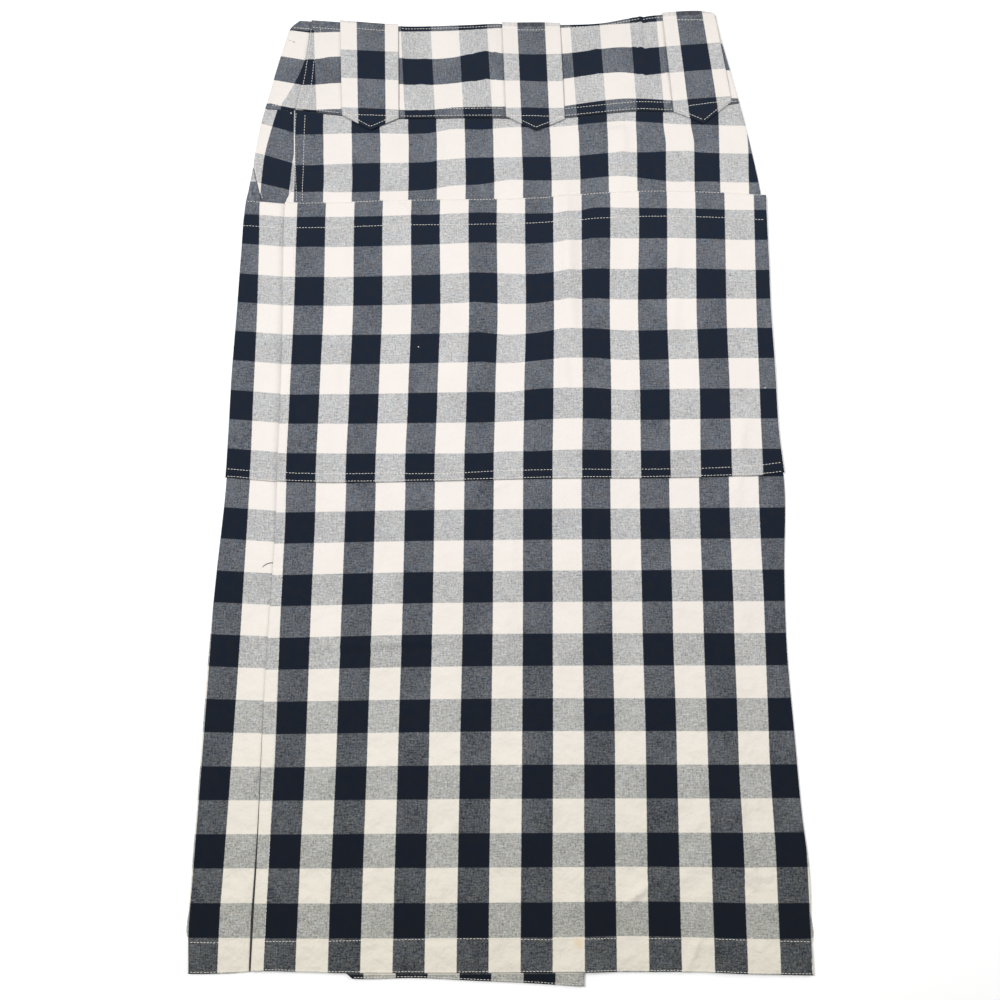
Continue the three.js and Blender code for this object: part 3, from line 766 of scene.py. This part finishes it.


def checked_cotton():
    n = Nodes("checked_cotton")
    times, plus = n.times, n.plus
    u, v = n.split(n.add("ShaderNodeUVMap", uv_map="cloth").outputs[0])[:2]

    # Stripes: 0 in a navy one, 1 in a cream one, with a slightly wandering edge
    def stripes(at, place):
        wander = times(plus(n.noise(place, 9.0), -0.5), EDGE_WANDER)
        wave = n.math("PINGPONG", plus(plus(at, wander), -0.5), 1.0)
        return n.remap(wave, 0.5 - EDGE_SOFT, 0.5 + EDGE_SOFT, 0.0, 1.0, smooth=True)
    warp = stripes(u, n.join(times(u, 3.0), v))
    weft = stripes(v, n.join(u, times(v, 3.0)))

    # Painted light and shade along the skirt: the navy is painted paler towards the waist and deeper towards
    # the hem, and the cream yellower there, for how the lamps fall on it
    place = n.add("ShaderNodeTexCoord").outputs["Object"]
    length_at = n.split(place)[1]
    painted_waist_light = n.remap(length_at, HEM_AT, WAIST_AT, -0.8, 1.0)
    painted_navy_light = n.remap(length_at, HEM_AT, WAIST_AT, 0.62, 1.3)
    painted_hem_shade = n.remap(length_at, HEM_AT, -0.1, 1.0, 0.0)
    painted_hem_warmth = n.remap(length_at, HEM_AT, -0.05, 0.935, 1.026)

    # Heather: grains, and slubs along both yarns
    grain = n.noise(n.join(u, v), 17.0, 3.0, 0.65)
    slub_u = n.noise(n.join(times(u, 27.0), times(v, 4.0)), 1.0, 2.0)
    slub_v = n.noise(n.join(times(u, 4.0), times(v, 27.0)), 1.0, 2.0)
    uneven = plus(plus(times(grain, 0.52), times(slub_u, 0.21)), plus(times(slub_v, 0.27), -0.5))
    flecks = n.math("POWER", n.math("MAXIMUM", times(uneven, 5.0), 0.0), 2.0)
    patchy = plus(n.noise(n.join(u, v), 0.7, 3.0, 0.6), -0.5)
    dark_share = plus(times(uneven, 0.85), plus(times(flecks, 0.036), times(patchy, 0.16)))
    # Painted light and shade: more cream shows towards the waist, more navy towards the hem
    dark_share = plus(dark_share, plus(times(painted_waist_light, 0.031), times(painted_hem_shade, -0.012)))
    dark_share = n.math("MAXIMUM", plus(dark_share, DARK_SHARE - 0.014), 0.02)
    light_share = plus(LIGHT_SHARE, plus(times(painted_waist_light, -0.05), times(painted_hem_shade, 0.035)))
    light_share = plus(light_share, plus(times(uneven, -1.95), times(patchy, -0.2)))
    light_share = n.math("MAXIMUM", light_share, 0.0)
    not_warp = n.math("SUBTRACT", 1.0, warp)
    not_weft = n.math("SUBTRACT", 1.0, weft)
    share_light = n.math("SUBTRACT", 1.0, times(light_share, not_weft))
    share = plus(times(share_light, warp), times(times(dark_share, weft), not_warp))

    # Yarn colours, which vary in soft patches
    tint = n.remap(n.noise(n.join(u, v), 3.4, 3.0, 0.6), 0.38, 0.62, 0.0, 1.0)
    mixed = n.math("ABSOLUTE", n.math("SUBTRACT", warp, weft))
    dark_white = n.blend(tint, DARK_MIX_COOL, DARK_MIX_WARM)
    light_white = n.blend(tint, LIGHT_MIX_COOL, LIGHT_MIX_WARM)
    white = n.blend(mixed, CREAM, n.blend(warp, dark_white, light_white))
    # Painted light: the cream is painted yellower and the navy deeper towards the hem
    white = n.tinted(white, 1.0, 1.0, painted_hem_warmth)
    navy = n.tinted(n.blend(tint, NAVY, NAVY_WARM), painted_navy_light, painted_navy_light, painted_navy_light)
    colour = n.blend(share, navy, white)

    # Fine fuzz over the plain navy and cream, and slow change from place to place
    fuzz = n.remap(n.noise(n.join(u, v), 40.0, 3.0, 0.7), 0.3, 0.7, 0.95, 1.05)
    slow = plus(1.0, times(patchy, 0.09))
    level = times(fuzz, slow)
    colour = n.tinted(colour, level, level, level)

    # One small faint stain at the hem
    away = n.add("ShaderNodeVectorMath", (place, STAIN_AT), operation="DISTANCE").outputs["Value"]
    spot = n.remap(plus(away, times(uneven, 0.004)), 0.0012, 0.0072, 0.5, 0.0, smooth=True)
    colour = n.blend(spot, colour, STAIN)
    n.put(n.shader.inputs["Base Color"], colour)
    n.shader.inputs["Roughness"].default_value = 0.95
    n.shader.inputs["Specular IOR Level"].default_value = 0.12
    n.shader.inputs["Sheen Weight"].default_value = 0.04
    n.shader.inputs["Sheen Roughness"].default_value = 0.6

    # Plain weave, slubs and a soft crumple as relief. The crumple is deeper towards the hem.
    over = n.math("SINE", times(u, math.pi * YARNS))
    under = n.math("SINE", times(v, math.pi * YARNS))
    relief = n.bump(times(over, under), 0.3, 0.0002)
    relief = n.bump(uneven, 0.45, 0.0006, relief)
    crumple = n.noise(n.join(u, v, 3.0), 1.3, 3.0, 0.5)
    relief = n.bump(crumple, n.remap(length_at, HEM_AT, 0.1, 1.0, 0.25), 0.005, relief)
    n.put(n.shader.inputs["Normal"], relief)
    return n.material


def thread_material(name, light, dark):
    n = Nodes(name)
    place = n.add("ShaderNodeTexCoord").outputs["Object"]
    fibre = n.noise(place, 2600.0, 2.0)
    n.put(n.shader.inputs["Base Color"], n.blend(fibre, linear(dark), linear(light)))
    n.shader.inputs["Roughness"].default_value = 0.75
    n.shader.inputs["Sheen Weight"].default_value = 0.2
    n.put(n.shader.inputs["Normal"], n.bump(fibre, 0.4, 0.0002))
    return n.material


COTTON = checked_cotton()
THREAD_LIGHT = thread_material("stitching_light", "eeeae2", "ccc7be")
# The dark thread also makes the strand painted as the shadow under the free edge
DARK_THREAD_AND_SHADOW = thread_material("dark_thread_and_painted_shadow", "2b2422", "171315")


def dress(piece, material, slot, *nodes):
    piece.data.materials.append(material)
    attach(piece, "root")
    if nodes:
        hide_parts(*nodes)
    return piece


EDGE_ROW = 1.3        # an edge stitch's distance from its edge
TOP_ROW = 0.8         # the same at the patch pockets' top edge
PRESS = 0.28          # depth of a stitched hollow
PRESS_WIDTH = 1.5


def hollows(levels, *lines, width=PRESS_WIDTH):
    """Hollows that stitch rows at these levels and along these lines pull into the cloth."""
    def hollow(x, y, level):
        rows = [level - mark for mark in levels] + [x - along(line, "x", y) for line in lines]
        deepest = np.max([np.exp(-((row / width) ** 2)) for row in rows], axis=0)
        pucker = 0.75 + 0.25 * np.sin((x + y) / 1.9 + 0.8 * np.sin((x - y) / 7.0))
        return PRESS * deepest * pucker
    return hollow


def marks_with_rows(marks, rows, reach=1.6):
    """Levels of a panel with three more round each stitch row."""
    extra = [r + d for r in rows for d in (-reach, 0.0, reach) if marks[0] < r + d < marks[-1]]
    return sorted(set(np.round(list(marks) + extra, 3)))


HEM_MARKS = [HEM, HEM_FOLD, HEM_FOLD + STEP, LIFT_FLAT, LIFT_END]
HEM_STITCHED = [HEM + EDGE_ROW, HEM_FOLD - 2.0]
BAND_STITCHED = [0.023, 0.096, 0.97]
PATCH_STITCHED = [PATCH_BOTTOM + EDGE_ROW, PATCH_TURN, PATCH_FOLD, PATCH_TOP - TOP_ROW]
EDGE_COLUMNS = (0, 1.2, EDGE_ROW + 0.6, 5, EDGE_TURN - 2.6, EDGE_TURN - 1, EDGE_TURN, EDGE_TURN + STEP,
                OVER_FLAT, OVER_END)
FRONT_COLUMNS = [(0, inset) for inset in EDGE_COLUMNS] + [(i / 22, 0.0) for i in range(4, 23)]


def spread(columns, step, width):
    """Columns with even steps between them, for a panel about this wide."""
    pairs = np.array(columns, float)
    scaled = pairs * np.array([width, 1.0])
    out = [pairs[:1]]
    for k in range(len(pairs) - 1):
        reach = abs(scaled[k + 1].sum() - scaled[k].sum())
        n = max(1, math.ceil(reach / step))
        out.append(pairs[k] + (pairs[k + 1] - pairs[k]) * (np.arange(1, n + 1)[:, None] / n))
    return np.concatenate(out)


def peep(y):
    """How far the back's sides peep out above the hem, from 0 to 1."""
    return ease(y, -386, -377) * (1 - ease(y, -373, -347))


def even(height):
    """The same height or thickness all over a piece."""
    return lambda x, y, level: height + np.zeros_like(x)


def hemmed(x, y, level):
    return CLOTH + hem_turn(level)


FRONT_LINE, UNDER_LINE, BAND_LINE = panel_line(FRONT_HEM), panel_line(UNDER_HEM), band_line(0)
FRONT_STEP = 2.4      # between the front's rows where it shows, fine enough for its creases
HIDDEN_STEP = 4.0     # and under the patch pocket
CORNER = 6.0          # how far the waistband's corner is rounded off


def band_left(y):
    return left(y) + CORNER * np.maximum((y - 402) / 10, 0) ** 2


def build_back():
    panel("back_panel", fine([HEM, HEM_FOLD, HEM_FOLD + STEP, -338, PATCH_BOTTOM, PATCH_TOP, SEAM], 7),
          spread(fractions(14), step=7, width=480), lambda y: mix(left(y) + 0.6, -HALF_WIDTH, peep(y)),
          lambda y: mix(right(y) - 0.6, HALF_WIDTH - 1.2, peep(y)), panel_line(BACK_HEM), even(0), hemmed,
          lower_checks)
    panel("back_waistband", fine([0, 1], 0.07), spread(fractions(14), step=7, width=420),
          lambda y: band_left(y) + 0.6, lambda y: right(y) - 0.6, band_line(1), even(0), even(BAND_CLOTH),
          band_checks)


def pocket_mouth(y):
    return along(POCKET_MOUTH, "x", y)


def build_underlap():
    columns = spread([(0, 0), (0.1, 0), (0.2, 0), (0.4, 0), (1, 0)], step=5, width=300)
    rows = fine(marks_with_rows([*HEM_MARKS, PATCH_BOTTOM, YOKE_JOIN - GAP], HEM_STITCHED), 5)
    panel("underlap_panel", rows, columns, left, under_edge, UNDER_LINE, under_bottom, hemmed,
          underlap_checks, hollows(HEM_STITCHED))
    panel("underlap_yoke", fine([YOKE_JOIN, PATCH_TOP, 254, 266, 278, 290, SEAM], 3), columns,
          lambda y: np.maximum(left(y), np.where(y < 284, pocket_mouth(y), left(y))), under_edge, UNDER_LINE,
          under_bottom, even(CLOTH), side_yoke_checks)
    panel("underlap_waistband", fine([0, 0.9, 1], 0.03), columns, band_left, under_edge, BAND_LINE,
          even(BAND_CLOTH + GAP), even(BAND_CLOTH), under_band_checks)
    panel("hip_pocket", fine([YOKE_JOIN, PATCH_TOP, 252, 260, 269], 1.5),
          spread(fractions(2), step=1.5, width=14), lambda y: left(y) - along(POCKET_REACH, "out", y),
          lambda y: np.maximum(pocket_mouth(y) - GAP, left(y) + 0.4), UNDER_LINE, under_bottom,
          even(CLOTH - 0.2), pocket_checks)


def patch_rows(step):
    marks = [PATCH_BOTTOM, PATCH_TURN, PATCH_TURN + STEP, PATCH_FOLD - STEP, PATCH_FOLD, PATCH_TOP]
    return fine(marks_with_rows(marks, PATCH_STITCHED), step)


def build_side_patch():
    panel("side_patch", patch_rows(4), spread([(0, 0), (0.05, 0), (1, 0)], step=4, width=66),
          lambda y: left(y) - along(PATCH_REACH, "left", y), lambda y: SIDE_PATCH_END + 0 * y, FRONT_LINE,
          lambda x, y, level: under_bottom(x, y, level) + SHEET,
          lambda x, y, level: CLOTH + patch_turn(level), side_patch_checks, hollows(PATCH_STITCHED))


def build_front():
    hidden = fine([PATCH_BOTTOM, PATCH_TOP], HIDDEN_STEP)
    below = fine(marks_with_rows([*HEM_MARKS, PATCH_BOTTOM], HEM_STITCHED), FRONT_STEP)
    rows = np.concatenate([below[:-1], hidden, fine([PATCH_TOP, SEAM], FRONT_STEP)[1:]])
    columns = spread(FRONT_COLUMNS, step=2.5, width=430)
    panel("front_panel", rows, columns,
          lambda y: free_edge(y) + ease(y, PATCH_BOTTOM - 2, PATCH_BOTTOM + 4) * (1 - ease(y, 232, 240)),
          right, FRONT_LINE, front_bottom, front_thick, front_checks, hollows(HEM_STITCHED, EDGE_ROW_LINE))
    panel("front_patch", patch_rows(FRONT_STEP), columns, free_edge,
          lambda y: right(y) + along(PATCH_REACH, "right", y), FRONT_LINE,
          lambda x, y, level: front_bottom(x, y, level) + front_thick(x, y, level) + GAP,
          lambda x, y, level: CLOTH + np.maximum(patch_turn(level), front_turn(x, y)), patch_checks,
          hollows(PATCH_STITCHED, EDGE_ROW_LINE))
    panel("front_waistband", fine(marks_with_rows([0, 1], BAND_STITCHED, 0.017), 0.035), columns,
          lambda y: along(BAND_EDGE, "x", y), right, BAND_LINE, front_band_bottom, even(BAND_CLOTH),
          band_checks, hollows(BAND_STITCHED, width=0.016))


def build_loop(loop):
    across, up = np.meshgrid(np.linspace(0, 1, 29), np.linspace(0, 1, 49))
    beside = np.abs(2 * across - 1)
    corner_x, corner_y = [np.where(across < 0.5, *loop[key]) for key in ("low", "low_y")]
    low_x, low_y = mix(loop["point"][0], corner_x, beside), mix(loop["point"][1], corner_y, beside)
    top_x = mix(loop["top"][0], loop["top"][1], across)
    top_y = along(WAIST_LINE, "y", top_x, by="x") + LOOP_RISE
    x, y = mix(low_x, top_x, up), mix(low_y, top_y, up)
    bottom = front_band_bottom(x, y) + BAND_CLOTH + GAP + LOOP_CROWN * np.sin(math.pi * up)
    vs, ys = np.array(loop["rows"][::-1], float).T
    stripe_u = (across - loop["stripe"][0]) / (loop["stripe"][1] - loop["stripe"][0])
    row_v = np.interp(y - loop["tilt"] * (across - 0.5), ys, vs)
    shell(loop["name"], x, y, bottom, bottom + LOOP_CLOTH, lambda *_: (stripe_u, row_v))


build_back()
build_underlap()
build_side_patch()
build_front()
for loop in LOOPS:
    build_loop(loop)
for node, piece in pieces.items():
    dress(piece, COTTON, "loop_cotton" if node.startswith("belt_loop") else "checked_cotton", node)


# Paths of the stitch rows
PATH_STEP = 4.0
HEM_ROW = columns_of(
    "x shift", (-240, -0.6), (-178, -1.5), (-122, 0.3), (-70, 1.3), (-20, 1.9), (30, 1.1), (80, 1.3),
    (130, 0.9), (180, 1.3), (240, 0.8))
PATCH_ROW = columns_of(
    "x shift", (-240, 0), (-95, 0), (-70, -0.8), (-30, -0.8), (5, 0), (185, 0), (228, 1.4), (240, 1.4))
BETWEEN_LOOPS = [(-87, 4.5), (59.5, 155), (207, 214)]


def level_path(line, level, start, end, shifts=None):
    """A row at a level, or one that wanders off it by a table's shifts."""
    x = np.linspace(start, end, math.ceil((end - start) / PATH_STEP) + 1)
    y = line(x, level + 0 * x)
    return np.column_stack([x, y if shifts is None else y + along(shifts, "shift", x, by="x")])


def line_path(line, start, end, inset=0.0, step=PATH_STEP):
    y = np.arange(start, end, step)
    return np.column_stack([along(line, "x", y) + inset, y])


def dress_stitches(name, paths, node, **sizes):
    dress(stitches(name, paths, surface_of(node), **sizes), THREAD_LIGHT, "stitching")


def front_stitches():
    hem_low, hem_high = HEM_STITCHED
    panel_paths = [level_path(FRONT_LINE, hem_low, -192, 245),
                   level_path(FRONT_LINE, hem_high, -192, 245, HEM_ROW),
                   line_path(EDGE_ROW_LINE, -402, PATCH_BOTTOM - 3), line_path(YOKE_INNER_ROW, 237.5, 322),
                   line_path(YOKE_OUTER_ROW, 237.5, 323)]
    dress_stitches("front_panel_stitches", panel_paths, "front_panel")
    patch_paths = [level_path(FRONT_LINE, m, -185, right(m) + 0.4) for m in PATCH_STITCHED if m != PATCH_TURN]
    patch_paths.append(level_path(FRONT_LINE, PATCH_TURN, -185, right(PATCH_TURN) + 0.4, PATCH_ROW))
    patch_paths.append(line_path(EDGE_ROW_LINE, PATCH_BOTTOM + 1, PATCH_TOP - 3))
    dress_stitches("front_patch_stitches", patch_paths, "front_patch")
    band_paths = [level_path(BAND_LINE, m, a, b) for m in BAND_STITCHED for a, b in BETWEEN_LOOPS]
    band_paths += [level_path(BAND_LINE, m, -176, -141) for m in (0.023, 0.096, 0.917)]
    band_paths += [line_path(YOKE_OUTER_ROW, 325, 409), line_path(YOKE_INNER_ROW, 325, 407)]
    dress_stitches("front_waistband_stitches", band_paths, "front_waistband")


def side_stitches():
    hem_low, hem_high = HEM_STITCHED
    dress_stitches("side_patch_stitches", [level_path(FRONT_LINE, m, -230, -188) for m in PATCH_STITCHED],
                   "side_patch")
    hem_paths = [level_path(UNDER_LINE, hem_low, -244, -197),
                 level_path(UNDER_LINE, hem_high, -245, -197, HEM_ROW),
                 level_path(UNDER_LINE, hem_low, -114, 64), [(54, -405.5), (65, -413.6)]]
    dress_stitches("underlap_stitches", hem_paths, "underlap_panel")
    dress_stitches("pocket_mouth_stitches", [line_path(POCKET_MOUTH, 242, 282, EDGE_ROW, 2)], "underlap_yoke")
    band_paths = [level_path(BAND_LINE, m, -204 + 14 * m, -181 + 12 * m) for m in (0.04, 0.912)]
    dress_stitches("underlap_waistband_stitches", band_paths, "underlap_waistband")


def loop_stitches(loop):
    top_y = along(WAIST_LINE, "y", np.array(loop["top"], float), by="x") + LOOP_RISE - 7.5
    point, low, low_y = loop["point"], loop["low"], loop["low_y"]
    inward = 2.9          # from the lower edge to its stitch row
    rows = [[(loop["top"][0] + 1, top_y[0]), (loop["top"][1] - 1, top_y[1])],
            [(low[0] + 1, loop["row"][0]), (low[1] - 1, loop["row"][1])],
            [(low[0] + 1, low_y[0] + inward), (point[0], point[1] + inward)],
            [(point[0], point[1] + inward), (low[1] - 1, low_y[1] + inward)]]
    dress_stitches(loop["name"] + "_stitches", rows, loop["name"], pitch=2.6, length=2.1)


front_stitches()
side_stitches()
for loop in LOOPS:
    loop_stitches(loop)


def strand(name, path, radii, material):
    """A thread along a path of points with a radius at each."""
    path, points, sides = np.array(path, float), [], 8
    for i, p in enumerate(path):
        way = path[min(i + 1, len(path) - 1)] - path[max(i - 1, 0)]
        way /= np.linalg.norm(way)
        side = np.cross(way, (0, 0, 1))
        side /= np.linalg.norm(side)
        up = np.cross(side, way)
        for k in range(sides):
            turn = 2 * math.pi * k / sides
            points.append(p + radii[i] * (side * math.cos(turn) + up * math.sin(turn)))
    last = (len(path) - 1) * sides
    faces = tube(0, len(path), sides) + [tuple(range(sides))[::-1], tuple(range(last, last + sides))]
    return dress(make_mesh(name, points, faces), material, "stitching")


# Radius of the dark strand painted as the shadow in the gap under the free edge, wider towards the hem
EDGE_SHADOW_STRAND = columns_of("y radius", (-403, 0.95), (-370, 0.9), (-300, 0.5), (-230, 0.3), (-170, 0.1))
LOOSE_THREAD = columns_of(
    "x y radius", (-197.4, -85.0, 0.18), (-195.9, -83.6, 0.27), (-193.6, -82.2, 0.3), (-190.9, -81.4, 0.32),
    (-188.6, -81.4, 0.36), (-186.6, -82.2, 0.3))
# Small bits of fluff: node, colour, length, radius and place
LINT = [
    ("underlap_waistband", DARK_THREAD_AND_SHADOW, 2.4, 0.22, -185.2, 391.6),
    ("underlap_waistband", DARK_THREAD_AND_SHADOW, 1.6, 0.18, -188.6, 393),
    ("underlap_yoke", THREAD_LIGHT, 1.3, 0.5, -185.6, 322.4),
    ("front_patch", THREAD_LIGHT, 1.2, 0.4, -68.2, 103.5),
    ("front_patch", THREAD_LIGHT, 1.2, 0.35, 226.6, 66.1)]


def edge_shadow_strand():
    """Painted shadow: a dark strand laid at the foot of the free edge, where the gap between it and the
    underlap lies in shade, thicker towards the hem where the gap widens.
    """
    top = surface_of("underlap_panel")
    ys = np.arange(-403, -170, 3.0)
    radii = np.interp(ys, EDGE_SHADOW_STRAND["y"], EDGE_SHADOW_STRAND["radius"])
    xs = free_edge(ys) - radii * 0.8
    path = [(x, y, (top(x, y) or 2.7) + r * 0.5) for x, y, r in zip(xs, ys, radii)]
    strand("free_edge_shadow_strand", path, radii, DARK_THREAD_AND_SHADOW)


def loose_thread():
    top = surface_of("underlap_panel")
    path = [(x, y, top(x, y) + 0.4) for x, y in zip(LOOSE_THREAD["x"], LOOSE_THREAD["y"])]
    strand("loose_thread", path, LOOSE_THREAD["radius"], DARK_THREAD_AND_SHADOW)


def lint():
    for k, (node, material, length, radius, x, y) in enumerate(LINT):
        z = surface_of(node)(x, y) + radius * 0.6
        path = [(x + length * t, y - 0.5 * length * t, z) for t in (-0.5, -0.2, 0.2, 0.5)]
        strand("lint_%d" % (k + 1), path, np.array([0.5, 1.0, 1.0, 0.5]) * radius, material)


edge_shadow_strand()
loose_thread()
lint()

# Floor, light and camera, in metres
FLOOR_SIZE = 8.0
WORLD_COLOUR, WORLD_STRENGTH = (1.0, 0.99, 0.97, 1.0), 0.26
bpy.ops.mesh.primitive_plane_add(size=FLOOR_SIZE)
floor = bpy.context.active_object
floor.name = "floor"
ground = Nodes("pale_floor")
ground.shader.inputs["Base Color"].default_value = (0.97, 0.97, 0.97, 1.0)
ground.shader.inputs["Roughness"].default_value = 0.9
floor.data.materials.append(ground.material)

scene = bpy.context.scene
world = bpy.data.worlds.new("studio") if scene.world is None else scene.world
scene.world = world
world.use_nodes = True
backdrop = world.node_tree.nodes.get("Background") or world.node_tree.nodes.new("ShaderNodeBackground")
backdrop.inputs["Color"].default_value = WORLD_COLOUR
backdrop.inputs["Strength"].default_value = WORLD_STRENGTH


def softbox(name, place, aim, side, watts, colour):
    data = bpy.data.lights.new(name, "AREA")
    data.shape = "RECTANGLE"
    data.size = data.size_y = side
    data.energy = watts
    data.color = colour
    lamp = bpy.data.objects.new(name, data)
    lamp.location = place
    lamp.rotation_mode = "QUATERNION"
    lamp.rotation_quaternion = (Vector(aim) - Vector(place)).to_track_quat("-Z", "Y")
    scene.collection.objects.link(lamp)


softbox("key_light", (-0.6, 0.1, 1.25), (0.08, 0.1, 0.0), side=0.5, watts=17.0, colour=(0.985, 0.995, 1.0))
softbox("fill_light", (0.6, 0.2, 0.8), (0.05, 0.1, 0.0), side=0.8, watts=5.8, colour=(1.0, 1.0, 0.995))

PHOTO_PIXELS = 1000.0      # the photograph is square
FOCAL_PIXELS = 1000.0
SENSOR = 36.0
camera_data = bpy.data.cameras.new("photo_camera")
camera_data.sensor_width = SENSOR
camera_data.lens = SENSOR * FOCAL_PIXELS / PHOTO_PIXELS
camera = bpy.data.objects.new("photo_camera", camera_data)
side_way = Vector((0.9997, -0.0007, -0.0233))
up_way = Vector((0.0041, 0.9890, 0.1479))
back_way = Vector((0.0229, -0.1479, 0.9887))
turn = Matrix((side_way, up_way, back_way)).transposed().to_4x4()
camera.matrix_world = Matrix.Translation((0.0208, -0.1534, 0.8345)) @ turn
scene.collection.objects.link(camera)
scene.camera = camera
scene.view_settings.view_transform = "Standard"
